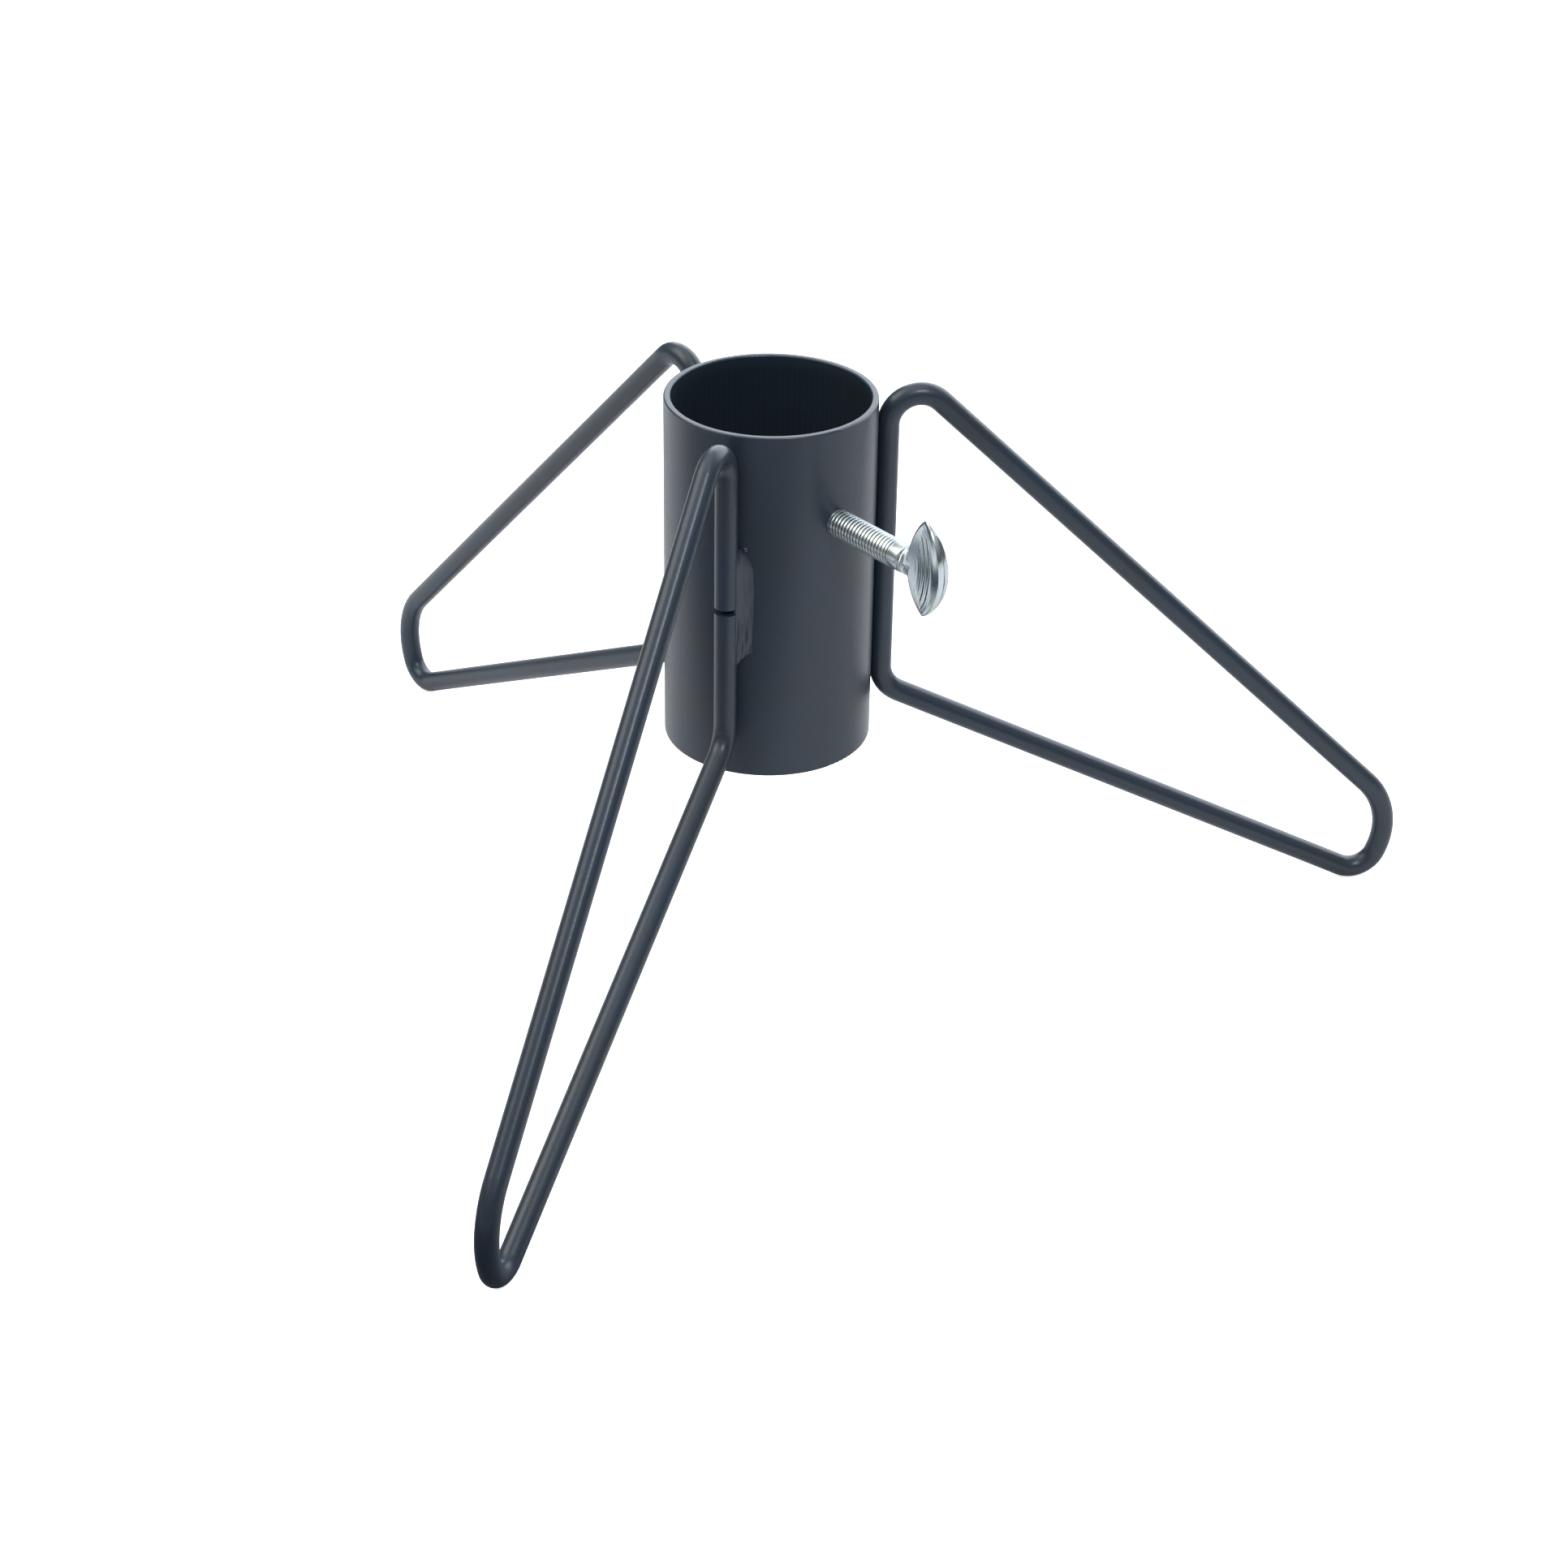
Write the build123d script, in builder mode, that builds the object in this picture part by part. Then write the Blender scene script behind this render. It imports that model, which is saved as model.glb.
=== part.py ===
from build123d import *
import math
import os

# A socket stand: a short steel tube on three legs, each leg a triangular loop of
# round bar, with one thumb screw that clamps a pole in the tube.
# Frame: Z up from the floor, the tube's axis on Z, the thumb screw towards -Y.
# Lengths are in millimetres and angles in degrees.

os.makedirs("parts", exist_ok=True)

# tube
tube_od = 60.0
tube_wall = 2.0
tube_height = 105.0
rim_round = 0.5

# round bar of the legs, and the loop it is bent into
bar_dia = 6.5
bar_seat_gap = 0.05
heel_rise = 11.8
shoulder_rise = 9.9
heel_above_toe = 79.4
toe_height = 23.7
toe_reach = 190.0
toe_lean = 7.5
shoulder_bend = 8.8
heel_bend = 10.0
toe_high_bend = 23.0
toe_low_bend = 8.0
bend_spare = 0.5
butt_gap = 1.8
butt_rise = 54.0
leg_azimuths = {"left": -60.0, "right": 60.0, "back": 180.0}

# weld beads between bar and tube, one beside each bar
weld_length = 35.0
weld_root = 1.7
weld_width = 7.6
weld_seat_gap = 0.05
weld_onto_bar = 0.6
weld_crown = 0.15

# thumb screw
screw_dia = 8.0
screw_clearance = 0.05
screw_below_rim = 28.0
screw_exposed = 27.0
screw_tip_recess = 0.2
screw_tip_chamfer = 0.8
head_gap = 3.5
head_inner_bulge = 5.6
head_outer_bulge = 7.6
head_half_height = 14.6
head_thickness = 3.8
head_tip_thickness = 1.2
head_corner = 1.2
neck_overlap = 3.0
neck_flare = 0.6
neck_inset = 0.2

tube_r = tube_od / 2
bore_r = tube_r - tube_wall
bar_r = bar_dia / 2
bar_centre = tube_r + bar_seat_gap + bar_r

# The loop's corners, worked out from the low toe corner. The bar turns there from the
# short end piece into the lower run, and its lowest point lies on the floor.
toe_high_reach = toe_reach + toe_lean
rise = math.atan2(heel_above_toe, toe_reach - bar_centre)
end_piece = math.atan2(toe_height, toe_lean)
low_tangent = toe_low_bend / math.tan((math.pi - rise - end_piece) / 2)
toe_low_z = bar_r - low_tangent * math.sin(rise) + toe_low_bend * (1 - math.cos(rise))
toe_high_z = toe_low_z + toe_height
heel_z = toe_low_z + heel_above_toe
shoulder_z = heel_z - heel_rise + tube_height + shoulder_rise

# The high toe bend is as wide as asked, or as wide as the end piece leaves room for.
fall = math.atan2(shoulder_z - toe_high_z, toe_high_reach - bar_centre)
end_room = math.hypot(toe_height, toe_lean) - low_tangent - bend_spare
toe_high_fit = min(toe_high_bend, end_room / math.tan((math.pi - end_piece - fall) / 2))

tube_bottom = heel_z - heel_rise
tube_top = tube_bottom + tube_height
butt_z = tube_bottom + butt_rise
screw_z = tube_top - screw_below_rim


def leg_plane(azimuth):
    """The upright plane of a leg: local X runs outward, local Y runs up."""
    a = math.radians(azimuth)
    return Plane(
        origin=(0, 0, 0),
        x_dir=(math.sin(a), -math.cos(a), 0),
        z_dir=(-math.cos(a), -math.sin(a), 0),
    )


def level_plane(azimuth, z):
    """A level plane at height z: local X points along the leg."""
    a = math.radians(azimuth)
    return Plane(origin=(0, 0, z), x_dir=(math.sin(a), -math.cos(a), 0), z_dir=(0, 0, 1))


# Upright plane through the screw, on the tube's outer wall: Z outward, Y up.
screw_plane = Plane(origin=(0, -tube_r, screw_z), x_dir=(1, 0, 0), z_dir=(0, -1, 0))
# The plane that the flat thumb head lies in: X outward along the screw, Y up.
head_plane = Plane(origin=(0, -tube_r, screw_z), x_dir=(0, -1, 0), z_dir=(-1, 0, 0))

# the tube, with the threaded hole of the thumb screw drilled through its front wall
with BuildPart() as socket_tube:
    with BuildSketch(Plane.XY.offset(tube_bottom)):
        Circle(tube_r)
        Circle(bore_r, mode=Mode.SUBTRACT)
    extrude(amount=tube_height)
    rims = socket_tube.faces().filter_by(Axis.Z)
    fillet(rims.edges(), rim_round)
    with BuildSketch(screw_plane.offset(tube_wall)):
        Circle(screw_dia / 2)
    extrude(amount=-3 * tube_wall, mode=Mode.SUBTRACT)
socket_tube.part.label = "socket_tube"
export_step(socket_tube.part, "parts/socket_tube.step")


# the legs and their weld beads
def make_leg(name, azimuth):
    """One bar bent into a loop, its two ends facing each other along the tube."""
    corners = [
        (bar_centre, butt_z + butt_gap / 2),
        (bar_centre, shoulder_z),
        (toe_high_reach, toe_high_z),
        (toe_reach, toe_low_z),
        (bar_centre, heel_z),
        (bar_centre, butt_z - butt_gap / 2),
    ]
    bends = [shoulder_bend, toe_high_fit, toe_low_bend, heel_bend]
    with BuildPart() as leg:
        with BuildLine(leg_plane(azimuth)) as loop:
            FilletPolyline(*corners, radius=bends)
        with BuildSketch(Plane(origin=loop.wire() @ 0, z_dir=loop.wire() % 0)):
            Circle(bar_r)
        sweep()
    leg.part.label = name
    export_step(leg.part, f"parts/{name}.step")
    plain = math.pi * bar_r**2 * loop.wire().length
    print(name, "volume over section times length:", round(leg.part.volume / plain, 5))


def make_weld(name, azimuth):
    """One bead in the crevice between bar and tube, on the bar's anticlockwise side from above."""
    tube_end = (math.sqrt(tube_r**2 - weld_width**2), weld_width)
    bar_end = (bar_centre + weld_onto_bar, bar_r + weld_crown)
    crown = (
        (tube_end[0] + bar_end[0]) / 2 + weld_crown,
        (tube_end[1] + bar_end[1]) / 2 + weld_crown,
    )
    with BuildPart() as weld:
        with BuildSketch(level_plane(azimuth, butt_z - weld_length / 2)):
            with BuildLine():
                Polyline(tube_end, (bore_r, weld_width), (bore_r, weld_root),
                         (bar_centre, weld_root), bar_end)
                ThreePointArc(bar_end, crown, tube_end)
            make_face()
            Circle(tube_r + weld_seat_gap, mode=Mode.SUBTRACT)
            with Locations((bar_centre, 0)):
                Circle(bar_r + weld_seat_gap, mode=Mode.SUBTRACT)
        extrude(amount=weld_length)
    weld.part.label = name
    export_step(weld.part, f"parts/{name}.step")


for side, azimuth in leg_azimuths.items():
    make_leg(f"leg_{side}", azimuth)
    make_weld(f"weld_{side}", azimuth)

# the thumb screw
shank_r = screw_dia / 2 - screw_clearance
head_inner = screw_exposed + head_gap
head_tip_x = head_inner + head_inner_bulge
head_outer = head_tip_x + head_outer_bulge

# The screw's plain end, flush with the bore.
with BuildPart() as screw_tip:
    with BuildSketch(screw_plane.offset(screw_tip_recess - tube_wall)):
        Circle(shank_r)
    extrude(amount=tube_wall - screw_tip_recess)
    chamfer(screw_tip.edges().filter_by(GeomType.CIRCLE).sort_by(Axis.Y)[-1], screw_tip_chamfer)
screw_tip.part.label = "screw_tip"
export_step(screw_tip.part, "parts/screw_tip.step")

# The shank, the neck and the flat pointed-oval head, forged from one bar.
with BuildPart() as thumb_screw:
    with BuildSketch(head_plane):
        with BuildLine():
            ThreePointArc((head_tip_x, -head_half_height), (head_inner, 0),
                          (head_tip_x, head_half_height))
            ThreePointArc((head_tip_x, head_half_height), (head_outer, 0),
                          (head_tip_x, -head_half_height))
        make_face()
    extrude(amount=head_thickness / 2, both=True)
    fillet(thumb_screw.edges().filter_by(Axis.X), head_corner)
    with BuildSketch(screw_plane.offset(head_inner)):
        with BuildLine():
            half_tip, half_mid = head_tip_thickness / 2, head_thickness / 2
            ThreePointArc((half_tip, -head_half_height), (half_mid, 0), (half_tip, head_half_height))
            Line((half_tip, head_half_height), (-half_tip, head_half_height))
            ThreePointArc((-half_tip, head_half_height), (-half_mid, 0), (-half_tip, -head_half_height))
            Line((-half_tip, -head_half_height), (half_tip, -head_half_height))
        make_face()
    extrude(amount=head_outer - head_inner, mode=Mode.INTERSECT)
    with BuildSketch(screw_plane):
        Circle(shank_r)
    extrude(amount=screw_exposed)
    with BuildSketch(screw_plane.offset(screw_exposed)):
        Circle(shank_r)
    with BuildSketch(screw_plane.offset(head_inner + neck_overlap)):
        Ellipse(head_thickness / 2 - neck_inset, shank_r + neck_flare)
    loft()
thumb_screw.part.label = "thumb_screw"
export_step(thumb_screw.part, "parts/thumb_screw.step")

print("tube bottom", round(tube_bottom, 3), "top", round(tube_top, 3), "screw height", round(screw_z, 3))
print("toe corners", round(toe_low_z, 3), round(toe_high_z, 3), "heel", round(heel_z, 3),
      "shoulder", round(shoulder_z, 3), "butt", round(butt_z, 3))
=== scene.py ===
import bmesh
import bpy
import math
import random
from mathutils import Matrix, Quaternion, Vector, noise


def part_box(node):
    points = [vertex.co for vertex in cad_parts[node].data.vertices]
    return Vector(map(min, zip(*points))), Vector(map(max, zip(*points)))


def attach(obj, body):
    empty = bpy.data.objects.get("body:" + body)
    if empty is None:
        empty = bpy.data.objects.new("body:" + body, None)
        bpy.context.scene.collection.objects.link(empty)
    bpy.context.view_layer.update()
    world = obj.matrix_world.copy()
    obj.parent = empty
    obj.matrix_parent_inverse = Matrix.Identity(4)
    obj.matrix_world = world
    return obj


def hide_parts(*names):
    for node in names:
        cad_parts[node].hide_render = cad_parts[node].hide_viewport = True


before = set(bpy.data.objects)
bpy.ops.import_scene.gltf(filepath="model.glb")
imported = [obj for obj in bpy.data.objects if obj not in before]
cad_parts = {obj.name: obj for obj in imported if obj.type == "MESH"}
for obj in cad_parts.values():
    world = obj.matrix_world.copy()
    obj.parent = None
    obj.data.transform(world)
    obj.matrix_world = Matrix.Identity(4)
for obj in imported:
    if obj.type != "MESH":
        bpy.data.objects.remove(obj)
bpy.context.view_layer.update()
mm = 0.001


# the camera looks down on the stand from the front left
camera = {
    "place": (-0.5105, -0.6249, 0.5186),
    "lookAt": (0.0041, -0.0034, 0.0475),
    "lens": 72.19,
    "roll": 0.954,          # degrees
}

studio = {
    "backdrop": 1.0,
    "skyColour": (0.90, 0.95, 1.0, 1.0),
    "skyHorizon": 0.16,     # what the surfaces see of the room, from the horizon
    "skyTop": 0.62,         # to straight up
    "skyRise": (0.22, 0.60),    # the share of straight up where that change starts and ends
    "floorSize": 12.0,
    "floorColour": (0.80, 0.80, 0.81, 1.0),
    "floorNear": (0.05, 0.063, 0.088, 1.0),    # the dark side, by the camera
    "darkSide": (-0.95, -0.30),
    "darkRise": (0.10, 0.22),   # metres toward that side, where it gets dark
    "darkReach": (0.14, 0.30),  # squared metres from the tube, where the dark ends
    "floorGlow": 0.75,      # only what the camera sees of it
    # name: place, aim, width, height, power, colour
    "lamps": {
        "rightRear": ((1.05, 0.48, 0.62), (0.0, 0.0, 0.1), 1.9, 1.2, 22.0, (0.86, 0.92, 1.0)),
        "leftRear": ((-0.75, 0.55, 1.00), (-0.40, 0.30, 0.0), 1.0, 0.8, 9.0, (1.0, 0.94, 0.86)),
        "frontHigh": ((-0.20, -0.96, 1.28), (0.0, 0.0, 0.1), 0.34, 0.34, 9.0, (0.82, 0.91, 1.0)),
        "overhead": ((-0.1, 0.2, 1.5), (0.0, 0.0, 0.0), 1.4, 1.4, 9.0, (1.0, 1.0, 1.0)),
    },
}


def aimAt(thing, target, roll=0.0):
    away = thing.location - Vector(target)
    turn = away.to_track_quat("Z", "Y") @ Quaternion((0, 0, 1), math.radians(roll))
    thing.rotation_euler = turn.to_euler()


def makeCamera():
    eye = bpy.data.objects.new("camera", bpy.data.cameras.new("camera"))
    bpy.context.scene.collection.objects.link(eye)
    eye.location = camera["place"]
    aimAt(eye, camera["lookAt"], camera["roll"])
    eye.data.lens = camera["lens"]
    eye.data.clip_start = 0.01
    eye.data.clip_end = 50.0
    bpy.context.scene.camera = eye


def makeLamp(name, place, aim, width, height, power, colour):
    light = bpy.data.lights.new(name, "AREA")
    light.shape = "RECTANGLE"
    light.size = width
    light.size_y = height
    light.energy = power
    light.color = colour
    lamp = bpy.data.objects.new(name, light)
    bpy.context.scene.collection.objects.link(lamp)
    lamp.location = place
    aimAt(lamp, aim)


makeCamera()
for lampName, lampFacts in studio["lamps"].items():
    makeLamp(lampName, *lampFacts)
bpy.context.scene.view_settings.view_transform = "Standard"
print("camera and lamps are up")


# a socket that adds Math nodes when it is used in an expression
class Value:
    def __init__(self, recipe, socket):
        self.recipe = recipe
        self.socket = socket

    def __add__(self, other):
        return self.recipe.maths("ADD", self, other)

    def __radd__(self, other):
        return self.recipe.maths("ADD", other, self)

    def __sub__(self, other):
        return self.recipe.maths("SUBTRACT", self, other)

    def __rsub__(self, other):
        return self.recipe.maths("SUBTRACT", other, self)

    def __mul__(self, other):
        return self.recipe.maths("MULTIPLY", self, other)

    def __rmul__(self, other):
        return self.recipe.maths("MULTIPLY", other, self)

    def __pow__(self, other):
        return self.recipe.maths("POWER", self, other)


# the nodes of one material, or of the world
class Recipe:
    def __init__(self, owner):
        owner.use_nodes = True
        self.tree = owner.node_tree
        self.tree.nodes.clear()

    # settings are set first, then the values or links of the sockets
    def node(self, kind, settings=None, sockets=None, out=0):
        made = self.tree.nodes.new(kind)
        for name, value in (settings or {}).items():
            setattr(made, name, value)
        for name, value in (sockets or {}).items():
            if isinstance(value, Value):
                self.tree.links.new(value.socket, made.inputs[name])
            else:
                made.inputs[name].default_value = value
        return Value(self, made.outputs[out]) if made.outputs else None

    def maths(self, operation, first, second):
        return self.node("ShaderNodeMath", {"operation": operation}, {0: first, 1: second})

    # 0 below low, 1 above high, smooth between
    def step(self, value, low, high):
        return self.node("ShaderNodeMapRange", {"interpolation_type": "SMOOTHSTEP"},
                         {"Value": value, "From Min": low, "From Max": high})

    def mixColours(self, share, first, second):
        return self.node("ShaderNodeMix", {"data_type": "RGBA"},
                         {"Factor": share, 6: first, 7: second}, out=2)

    def mixShaders(self, share, first, second):
        return self.node("ShaderNodeMixShader", None, {0: share, 1: first, 2: second})

    def noise(self, vector, size, detail=2.0, roughness=0.5):
        return self.node("ShaderNodeTexNoise", {"noise_dimensions": "3D"},
                         {"Vector": vector, "Scale": 1 / size, "Detail": detail,
                          "Roughness": roughness}, out="Fac")

    # where a point is on the object, in metres
    def place(self):
        return self.node("ShaderNodeTexCoord", out="Object")

    def parts(self, vector):
        return [self.node("ShaderNodeSeparateXYZ", None, {0: vector}, out=axis)
                for axis in ("X", "Y", "Z")]

    def bump(self, height, depth, under=None):
        sockets = {"Height": height, "Distance": depth}
        if under:
            sockets["Normal"] = under
        return self.node("ShaderNodeBump", None, sockets)

    def surface(self, shader):
        self.node("ShaderNodeOutputMaterial", None, {"Surface": shader})

    def principled(self, sockets):
        return self.node("ShaderNodeBsdfPrincipled", None, sockets)


# the room is white to look at, and sends the surfaces a sky that is darker at the horizon
def makeWorld():
    world = bpy.data.worlds.new("studio")
    bpy.context.scene.world = world
    recipe = Recipe(world)
    height = recipe.parts(recipe.node("ShaderNodeTexCoord", out="Generated"))[2]
    rise = recipe.step(height, *studio["skyRise"])
    strength = studio["skyHorizon"] + (studio["skyTop"] - studio["skyHorizon"]) * rise
    lit = recipe.node("ShaderNodeBackground", None,
                      {"Color": studio["skyColour"], "Strength": strength})
    seen = recipe.node("ShaderNodeBackground", None,
                       {"Color": (1, 1, 1, 1), "Strength": studio["backdrop"]})
    toCamera = recipe.node("ShaderNodeLightPath", out="Is Camera Ray")
    recipe.node("ShaderNodeOutputWorld", None, {"Surface": recipe.mixShaders(toCamera, lit, seen)})


# a pale floor, which sends less light onto the stand from the camera's side
def makeFloor():
    bm = bmesh.new()
    bmesh.ops.create_grid(bm, x_segments=1, y_segments=1, size=studio["floorSize"] / 2)
    mesh = bpy.data.meshes.new("floor")
    bm.to_mesh(mesh)
    bm.free()
    floor = bpy.data.objects.new("floor", mesh)
    bpy.context.scene.collection.objects.link(floor)
    material = bpy.data.materials.new("paleFloor")
    recipe = Recipe(material)
    place = recipe.place()
    x, y, _ = recipe.parts(place)
    darkX, darkY = studio["darkSide"]
    far = recipe.step(x * x + y * y, *studio["darkReach"])
    near = recipe.step(darkX * x + darkY * y, *studio["darkRise"]) * (1.0 - far)
    speckle = 0.85 + 0.05 * recipe.noise(place, 0.02)
    bounce = recipe.node("ShaderNodeBsdfDiffuse", None, {
        "Color": recipe.mixColours(near, studio["floorColour"], studio["floorNear"]),
        "Roughness": speckle,
    })
    pale = recipe.node("ShaderNodeBsdfDiffuse", None, {"Color": studio["floorColour"]})
    glow = recipe.node("ShaderNodeEmission", None, {"Strength": studio["floorGlow"]})
    seen = recipe.node("ShaderNodeAddShader", None, {0: pale, 1: glow})
    toCamera = recipe.node("ShaderNodeLightPath", out="Is Camera Ray")
    recipe.surface(recipe.mixShaders(toCamera, bounce, seen))
    mesh.materials.append(material)


makeWorld()
makeFloor()
print("room and floor are up")


# sizes that several pieces share, read from the frame
tubeLow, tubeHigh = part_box("socket_tube")
tipLow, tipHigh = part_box("screw_tip")
screwLow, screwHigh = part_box("thumb_screw")
backLow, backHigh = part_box("leg_back")

tube = {
    "radius": tubeHigh.x,
    "bore": tubeHigh.x - 2.0 * mm,
    "bottom": tubeLow.z,
    "top": tubeHigh.z,
}

bar = {
    "radius": backHigh.x,
    "centre": backLow.y + backHigh.x,   # from the tube's axis to an upright's
}


powderCoat = {
    "colour": (0.0175, 0.0285, 0.0440, 1.0),
    "warmColour": (0.0205, 0.0275, 0.0370, 1.0),
    # a lighter coat colour, a painted highlight along the tube's two rims
    "rimHighlightColour": (0.036, 0.044, 0.055, 1.0),
    # a near-black coat colour, painted shade deep in the bore
    "boreShadeColour": (0.0075, 0.0120, 0.0150, 1.0),
    # pale grey, painted on whatever stands above the bead's top, such as the drop there
    "dropColour": (0.17, 0.18, 0.19, 1.0),
    # a lighter copy of the coat colour for the weld beads: painted light
    "weldLitColour": (0.0280, 0.0370, 0.0490, 1.0),
    "roughness": 0.33,
    "gloss": 0.40,
    "boreRoughness": 0.85,
    "boreGloss": 0.08,
    "peelSize": 1.1 * mm,
    "peelDepth": 0.030 * mm,
    "grainSize": 0.22 * mm,
    "grainDepth": 0.005 * mm,
    "cloudSize": 26 * mm,
    "rimBand": 0.45 * mm,
}


# where on the tube colour is painted: a painted highlight along its two rims, and painted shade
# deep in its bore
def rimHighlightAndBoreShade(recipe, place, clouds):
    x, y, z = recipe.parts(place)
    radius = (x * x + y * y) ** 0.5
    inside = 1 - recipe.step(radius, tube["bore"] - 0.1 * mm, tube["bore"] + 0.1 * mm)
    # painted shade: darker deeper into the bore
    bore = inside * recipe.step(tube["top"] - z, 0.5 * mm, 5 * mm)
    # painted highlight: lighter along the top and bottom rims
    nearTop = recipe.step(z, tube["top"] - powderCoat["rimBand"], tube["top"] - 0.1 * mm)
    nearBottom = 1 - recipe.step(z, tube["bottom"] + 0.1 * mm,
                                 tube["bottom"] + powderCoat["rimBand"])
    rim = recipe.maths("MAXIMUM", nearTop, nearBottom) * (0.6 + 0.4 * clouds)
    return rim, bore


# powder coat: satin, with a fine orange peel; drops is the height above which it is painted pale
# grey
def coatedMaterial(name, main="colour", peel=1.0, onTube=False, drops=None):
    material = bpy.data.materials.new(name)
    recipe = Recipe(material)
    place = recipe.place()
    clouds = recipe.step(recipe.noise(place, powderCoat["cloudSize"], 3.0), 0.35, 0.65)
    grain = recipe.noise(place, powderCoat["grainSize"], 2.0, 0.6)
    orangePeel = recipe.noise(place, powderCoat["peelSize"])
    colour = recipe.mixColours(clouds, powderCoat[main], powderCoat["warmColour"])
    roughness = powderCoat["roughness"] + 0.10 * (orangePeel - 0.5) + 0.08 * (grain - 0.5)
    if onTube:
        rim, bore = rimHighlightAndBoreShade(recipe, place, clouds)
        # painted highlight along the rims
        colour = recipe.mixColours(rim * 0.7, colour, powderCoat["rimHighlightColour"])
    if drops:
        z = recipe.parts(place)[2]
        high = recipe.step(z, drops, drops + mm)
        colour = recipe.mixColours(high, colour, powderCoat["dropColour"])
    normal = recipe.bump(orangePeel, powderCoat["peelDepth"] * peel)
    normal = recipe.bump(grain, powderCoat["grainDepth"], normal)
    shader = recipe.principled({
        "Base Color": colour, "Roughness": roughness, "Normal": normal,
        "Specular IOR Level": powderCoat["gloss"],
    })
    if onTube:
        # painted shade: the bore's near-black coat
        dull = recipe.principled({
            "Base Color": powderCoat["boreShadeColour"], "Roughness": powderCoat["boreRoughness"],
            "Specular IOR Level": powderCoat["boreGloss"],
        })
        shader = recipe.mixShaders(bore, shader, dull)
    recipe.surface(shader)
    return material


zincPlate = {
    "colour": (0.50, 0.55, 0.58, 1.0),
    "tintColour": (0.50, 0.55, 0.52, 1.0),
    "dullColour": (0.38, 0.42, 0.46, 1.0),
    "roughness": 0.33,
    "tipRoughness": 0.32,
    "headShine": 0.14,          # how much smoother the head is than the shank
    "headStart": 2.0 * mm,      # where that begins, past the end of the shank
    "cloudSize": 5 * mm,
    "spotSize": 1.3 * mm,
    "grainSize": 0.16 * mm,
    "grainDepth": 0.006 * mm,
    "strokeSize": 0.35 * mm,
    "strokeDepth": 0.004 * mm,
}


# zinc plate: satin and a little mottled, with upright strokes where they are asked for
def zincMaterial(name, roughness, strokeDepth=0.0, headShine=0.0):
    material = bpy.data.materials.new(name)
    recipe = Recipe(material)
    place = recipe.place()
    clouds = recipe.step(recipe.noise(place, zincPlate["cloudSize"], 3.0), 0.35, 0.70)
    grain = recipe.noise(place, zincPlate["grainSize"], 2.0, 0.6)
    dull = recipe.step(recipe.noise(place, zincPlate["spotSize"], 4.0, 0.65), 0.52, 0.78)
    colour = recipe.mixColours(clouds, zincPlate["colour"], zincPlate["tintColour"])
    colour = recipe.mixColours(0.5 * dull, colour, zincPlate["dullColour"])
    shine = roughness + 0.10 * (grain - 0.5) + 0.12 * dull
    if headShine:
        y = recipe.parts(place)[1]
        headStart = tube["radius"] + screw["exposed"] + zincPlate["headStart"]
        shine = shine - headShine * recipe.step(-1.0 * y, headStart, headStart + 1.5 * mm)
    normal = recipe.bump(grain, zincPlate["grainDepth"])
    if strokeDepth:
        drawnOut = recipe.node("ShaderNodeMapping", {"vector_type": "POINT"},
                               {"Vector": place, "Scale": (1.0, 1.0, 0.05)})
        strokes = recipe.noise(drawnOut, zincPlate["strokeSize"], 3.0, 0.6)
        normal = recipe.bump(strokes, strokeDepth, normal)
        shine = shine + 0.10 * (strokes - 0.5)
    recipe.surface(recipe.principled({
        "Base Color": colour, "Metallic": 1.0, "Roughness": shine, "Normal": normal,
    }))
    return material


def setMaterial(piece, material):
    piece.data.materials.clear()
    piece.data.materials.append(material)


setMaterial(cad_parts["socket_tube"], coatedMaterial("tubeCoat", onTube=True))
barCoat = coatedMaterial("barCoat", peel=0.8)
for legName in ("leg_left", "leg_right", "leg_back"):
    setMaterial(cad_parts[legName], barCoat)
print("tube and legs are coated")


def finishPiece(name, bm, material, body, node):
    bmesh.ops.recalc_face_normals(bm, faces=bm.faces)
    mesh = bpy.data.meshes.new(name)
    bm.to_mesh(mesh)
    bm.free()
    mesh.materials.append(material)
    piece = bpy.data.objects.new(name, mesh)
    bpy.context.scene.collection.objects.link(piece)
    for face in mesh.polygons:
        face.use_smooth = True
    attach(piece, body)
    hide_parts(node)


# grows a closed skin: the first ring of points is extruded to each of the others in turn
def growSkin(bm, rings):
    verts = [bm.verts.new(point) for point in rings[0]]
    loop = [bm.edges.new(pair) for pair in zip(verts, verts[1:] + verts[:1])]
    bm.faces.new(verts)
    for ring in rings[1:]:
        grown = bmesh.ops.extrude_edge_only(bm, edges=loop)["geom"]
        verts = [item for item in grown if isinstance(item, bmesh.types.BMVert)]
        loop = [item for item in grown if isinstance(item, bmesh.types.BMEdge)]
        for vert, point in zip(verts, ring):
            vert.co = point
    bmesh.ops.edgeloop_fill(bm, edges=loop)


def smooth(share):
    share = max(0.0, min(1.0, share))
    return share * share * (3 - 2 * share)


# this many numbers, evenly spread from 0 to 1
def shares(count):
    return [index / (count - 1) for index in range(count)]


screw = {
    "pitch": 1.25 * mm,
    "threadDepth": 0.16 * mm,
    "crestShare": 0.45,
    "rootShare": 0.15,
    "stepsPerTurn": 48,
    "exposed": 27.0 * mm,
    "runOut": 2.2 * mm,
    "neckLength": 6.5 * mm,
    "neckStages": 12,
    "neckPoints": 64,
    "neckThin": 1.6 * mm,
    "neckFlare": 0.6 * mm,
}
axisZ = (tipLow.z + tipHigh.z) / 2
shankRadius = (tipHigh.x - tipLow.x) / 2
wallY = screwHigh.y
shankEndY = wallY - screw["exposed"]

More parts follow.
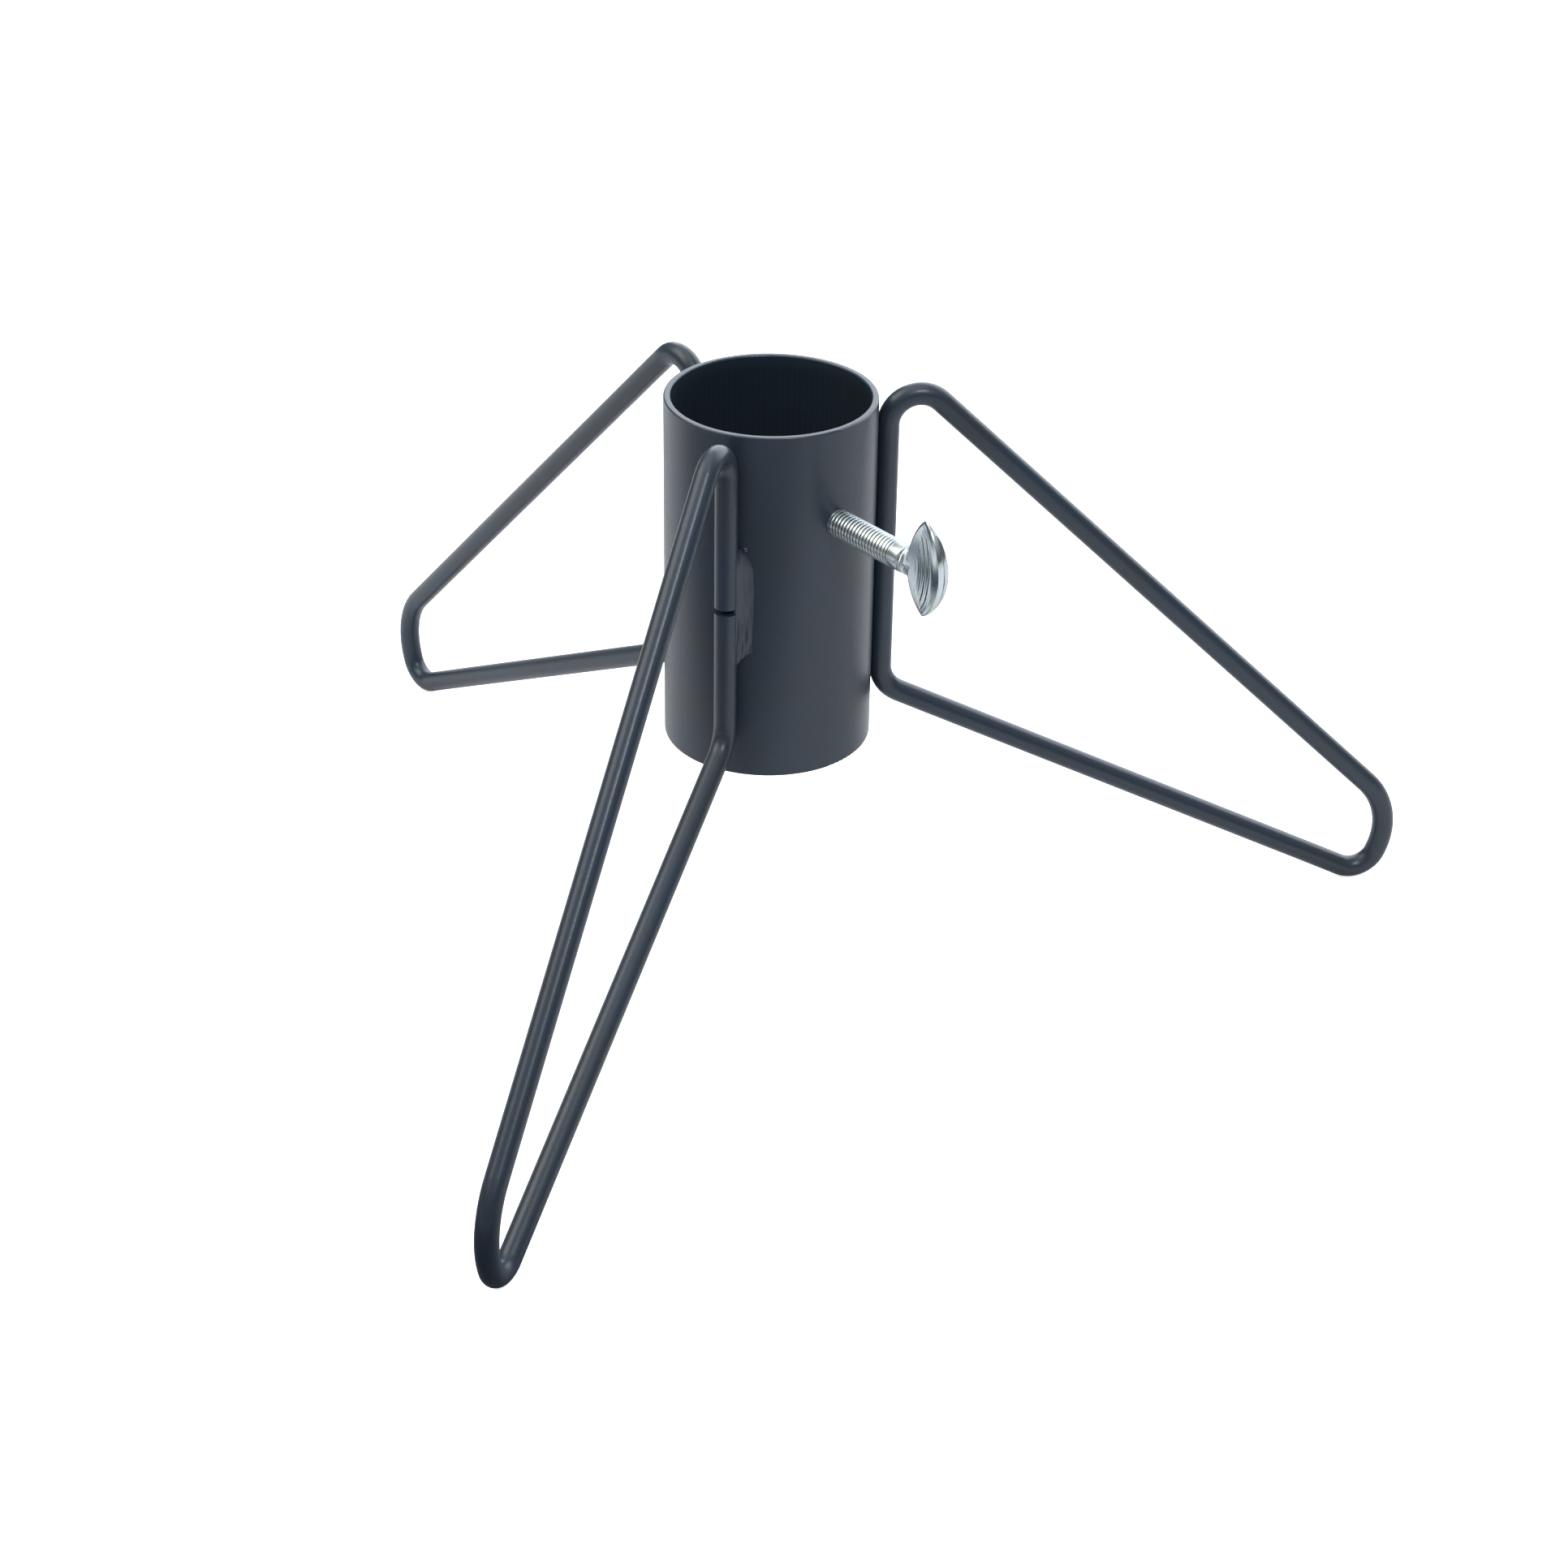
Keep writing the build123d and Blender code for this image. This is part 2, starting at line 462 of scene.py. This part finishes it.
head = {
    "slices": 150,
    "rimPoints": 10,
    "hollowPoints": 13,
    "facePoints": 61,
    "roundPoints": 9,
    "thickness": 3.8 * mm,
    "tipThickness": 1.2 * mm,
    "innerBulge": 4.9 * mm,
    "outerBulge": 6.9 * mm,
    "tipWidth": 1.9 * mm,
    "lipWidth": 0.25 * mm,      # the raised lip round the outer rim
    "hollowWidth": 2.7 * mm,    # the strip beside it that slopes up to the flat of the face
    "hollowDepth": 0.78 * mm,
    "rimCrown": 0.35 * mm,
    "innerRound": 1.1 * mm,
    "groovePitch": 1.7 * mm,
    "grooveDepth": 0.17 * mm,
    "grooveShare": 0.60,        # how much of the face has grooves
    "rimLumps": 0.16 * mm,
}
headTipZ = screwHigh.z - axisZ
headOuterY = screwLow.y
headTipY = headOuterY + head["outerBulge"] + head["tipWidth"] / 2


# one turn of the thread's outline, spun round the axis while it moves along
def addThread(bm, startY, endY):
    pitch, depth = screw["pitch"], screw["threadDepth"]
    halfRoot = screw["rootShare"] / 2
    flank = (1 - screw["crestShare"] - screw["rootShare"]) / 2
    marks = [
        (0.0, depth), (halfRoot, depth), (halfRoot + flank, 0.0),
        (halfRoot + flank + screw["crestShare"], 0.0), (1 - halfRoot, depth), (1.0, depth),
    ]
    points = [bm.verts.new((0, startY + pitch - share * pitch, axisZ + shankRadius - drop))
              for share, drop in marks]
    outline = [bm.edges.new(pair) for pair in zip(points, points[1:])]
    turns = math.ceil((startY - endY) / pitch) + 2
    bmesh.ops.spin(bm, geom=points + outline, cent=(0, 0, axisZ), axis=(0, -1, 0),
                   dvec=(0, -pitch / screw["stepsPerTurn"], 0), angle=turns * 2 * math.pi,
                   steps=turns * screw["stepsPerTurn"], use_merge=False)
    bmesh.ops.remove_doubles(bm, verts=bm.verts, dist=0.001 * mm)
    for level, outward in ((startY, 1), (endY, -1)):
        bmesh.ops.bisect_plane(bm, geom=bm.verts[:] + bm.edges[:] + bm.faces[:],
                               plane_co=(0, level, 0), plane_no=(0, outward, 0), clear_outer=True)
    bmesh.ops.holes_fill(bm, edges=[edge for edge in bm.edges if edge.is_boundary], sides=0)


def neckRing(y, halfX, halfZ):
    turns = [2 * math.pi * index / screw["neckPoints"] for index in range(screw["neckPoints"])]
    return [Vector((halfX * math.cos(turn), y, axisZ + halfZ * math.sin(turn))) for turn in turns]


# the plain collar behind the thread, flattened into the head
def addNeck(bm):
    start = shankEndY + screw["runOut"]
    root = shankRadius - screw["threadDepth"]
    rings = [
        neckRing(start + screw["pitch"], root, root),
        neckRing(start, shankRadius, shankRadius),
        neckRing(shankEndY, shankRadius, shankRadius),
    ]
    for share in shares(screw["neckStages"] + 1)[1:]:
        ease = smooth(share)
        halfX = shankRadius + (screw["neckThin"] - shankRadius) * ease
        halfZ = shankRadius + screw["neckFlare"] * ease
        rings.append(neckRing(shankEndY - screw["neckLength"] * share, halfX, halfZ))
    growSkin(bm, rings)


# how far an arc of this bulge stands out at height z from the screw's axis
def arcDepth(z, bulge):
    radius = (headTipZ ** 2 + bulge ** 2) / (2 * bulge)
    return math.sqrt(max(0.0, radius ** 2 - z ** 2)) - (radius - bulge)


# half of the head's section at height z, from the middle of the outer rim over the face to
# the inner edge: each point's distance from the outer edge, and from the middle plane
def faceOutline(z, width):
    share = min(1.0, abs(z) / headTipZ)
    slim = 1 - share ** 2
    thick = (head["tipThickness"] + (head["thickness"] - head["tipThickness"]) * slim) / 2
    crown = min(head["rimCrown"], 0.2 * width)
    lumps = head["rimLumps"] * slim * noise.noise(Vector((z / (3.5 * mm), 3.7, 1.1)))
    outline = []
    for across in shares(head["rimPoints"]):
        outline.append((crown * across ** 2 - lumps * math.sin(math.pi * across), thick * across))
    lip = crown + min(head["lipWidth"], 0.1 * width)
    hollow = min(head["hollowWidth"] * (0.3 + 0.7 * slim), 0.35 * width)
    for along in shares(head["hollowPoints"]):
        dip = head["hollowDepth"] * slim * (1 - smooth(along))
        outline.append((lip + hollow * along, thick - dip))
    faceStart = lip + hollow
    faceEnd = width - min(head["innerRound"], 0.3 * width)
    waver = 0.5 * mm * noise.noise(Vector((z / (7 * mm), 8.1, 2.0)))
    for along in shares(head["facePoints"])[1:]:
        place = faceStart + (faceEnd - faceStart) * along
        wave = math.sin(math.pi * (place + waver) / head["groovePitch"]) ** 2
        fade = smooth(along / 0.06) * (1 - smooth((along - head["grooveShare"] + 0.1) / 0.2)) * slim
        outline.append((place, thick - head["grooveDepth"] * wave * fade))
    for index in range(1, head["roundPoints"]):
        turn = math.pi / 2 * index / (head["roundPoints"] - 1)
        outline.append((faceEnd + (width - faceEnd) * math.sin(turn), thick * math.cos(turn)))
    return outline


def headRing(z):
    blunt = math.sqrt(max(0.0, 1 - (abs(z) / headTipZ) ** 10))
    spare = head["tipWidth"] / 2 * blunt
    inner = headTipY + arcDepth(z, head["innerBulge"]) + spare
    outer = headTipY - arcDepth(z, head["outerBulge"]) - spare
    points = faceOutline(z, max(inner - outer, 0.1 * mm))
    sides = [(away, -thick) for away, thick in points]
    sides += [(away, thick) for away, thick in points[-2:0:-1]]
    pull = 0.3 + 0.7 * blunt
    return [Vector((thick * pull, outer + away, axisZ + z)) for away, thick in sides]


def addHead(bm):
    turns = [math.pi * index / head["slices"] for index in range(head["slices"] + 1)]
    growSkin(bm, [headRing(-headTipZ * math.cos(turn)) for turn in turns])


def makeThumbScrew():
    bm = bmesh.new()
    addThread(bm, wallY, shankEndY + screw["runOut"])
    addNeck(bm)
    addHead(bm)
    zinc = zincMaterial("screwZinc", zincPlate["roughness"], zincPlate["strokeDepth"],
                        zincPlate["headShine"])
    finishPiece("thumbScrew", bm, zinc, "thumb_screw", "thumb_screw")


makeThumbScrew()
setMaterial(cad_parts["screw_tip"], zincMaterial("tipZinc", zincPlate["tipRoughness"]))
print("thumb screw is made")


weld = {
    "length": 35 * mm,
    "ontoTube": 6.8 * mm,
    "root": 1.7 * mm,
    "slices": 130,
    "points": 30,
    "sunk": 0.10 * mm,          # the feathered edge lies this far under the tube's face
    "hollow": 0.55,             # how far the face is drawn into the crevice
    "crown": 0.25 * mm,
    "endSlant": 3.4 * mm,
    "streakDepth": 0.60 * mm,
    "streakWidth": 1.4 * mm,
    "streakLength": 7 * mm,
    "dropSize": 0.75 * mm,
    "dropAbove": -0.2 * mm,
    "dropAside": 1.0 * mm,
    "spatter": 4,
    "speckSize": (0.12, 0.26),      # millimetres
    "speckAside": (-1.5, 2.0),      # millimetres past the bead's edge
    "speckRise": (-0.45, 0.45),     # shares of its length from its middle
}
legAzimuths = {"left": -60.0, "right": 60.0, "back": 180.0}


# a leg's own directions: outward from the tube, and aside, anticlockwise from above
def legAxes(azimuth):
    angle = math.radians(azimuth)
    outward = Vector((math.sin(angle), -math.cos(angle), 0))
    aside = Vector((math.cos(angle), math.sin(angle), 0))
    return outward, aside


# a point of the bead's face: along runs from its low end to its high end, across runs
# from its edge on the tube to its edge on the bar
def weldPoint(along, across, seed):
    rise = (along - 0.5) * weld["length"]
    thinning = smooth((1 - along) / 0.22) ** 0.5
    closing = smooth(along / 0.05)
    wander = 0.45 * mm * noise.noise(Vector((rise / (6 * mm), 0, 0)) + seed)
    reach = weld["root"] + (weld["ontoTube"] - weld["root"] + wander) * (0.35 + 0.65 * thinning)
    depth = tube["radius"] - weld["sunk"]
    onTube = Vector((math.sqrt(depth ** 2 - reach ** 2), reach, 0))
    turn = math.radians(98 + 8 * noise.noise(Vector((rise / (5 * mm), 6, 0)) + seed))
    onBar = Vector((bar["centre"] - bar["radius"] * math.cos(turn),
                    bar["radius"] * math.sin(turn), 0))
    crevice = Vector((tube["radius"] + 0.4 * mm, bar["radius"] * 0.75, 0))
    control = onTube.lerp(onBar, 0.5).lerp(crevice, weld["hollow"])
    point = onTube.lerp(control, across).lerp(control.lerp(onBar, across), across)
    middle = math.sin(math.pi * across)
    low = 1 - smooth((along - 0.30) / 0.35)
    spread = across * weld["ontoTube"] / weld["streakWidth"]
    streak = noise.noise(Vector((rise / weld["streakLength"], spread, 3.0)) + seed)
    swell = weld["crown"] * closing + weld["streakDepth"] * streak * (0.25 + 0.75 * low)
    point += Vector((0.6, 0.8, 0)) * swell * middle
    point.z = rise + weld["endSlant"] * (1 - across) * (1 - smooth(along / 0.25))
    return point


def makeWeld(side, azimuth):
    outward, aside = legAxes(azimuth)
    low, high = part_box("weld_" + side)
    centre = Vector((0, 0, (low.z + high.z) / 2))
    seed = Vector((azimuth * 0.37, 4.1, 9.3))
    rings = []
    for along in shares(weld["slices"] + 1):
        ring = [weldPoint(along, across, seed) for across in shares(weld["points"])]
        # two hidden corners close the section under the bead
        ring.append(Vector((bar["centre"], weld["root"], ring[-1].z)))
        ring.append(Vector((tube["radius"] - 0.6 * mm, weld["root"], ring[0].z)))
        rings.append([outward * point.x + aside * point.y + centre + Vector((0, 0, point.z))
                      for point in ring])
    bm = bmesh.new()
    growSkin(bm, rings)
    # one larger drop at the bead's upper end, and a few specks of spatter about it
    draws = random.Random(int(azimuth) + 400)
    drops = [(weld["dropSize"], bar["radius"] + weld["dropAside"],
              weld["length"] / 2 + weld["dropAbove"])]
    for _ in range(weld["spatter"]):
        size = draws.uniform(*weld["speckSize"]) * mm
        offset = weld["ontoTube"] + draws.uniform(*weld["speckAside"]) * mm
        drops.append((size, offset, draws.uniform(*weld["speckRise"]) * weld["length"]))
    for size, offset, up in drops:
        across = math.sqrt(tube["radius"] ** 2 - offset ** 2)
        spot = outward * across + aside * offset + centre + Vector((0, 0, up))
        bmesh.ops.create_icosphere(bm, subdivisions=3, radius=size,
                                   matrix=Matrix.Translation(spot))
    finishPiece("weldBead_" + side, bm, weldCoat, "stand", "weld_" + side)


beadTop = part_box("weld_left")[1].z
# the beads' coat is a lighter copy of the tube's, painted light
weldCoat = coatedMaterial("weldCoat", main="weldLitColour", peel=1.6, drops=beadTop)
for side, azimuth in legAzimuths.items():
    makeWeld(side, azimuth)
print("weld beads are made")
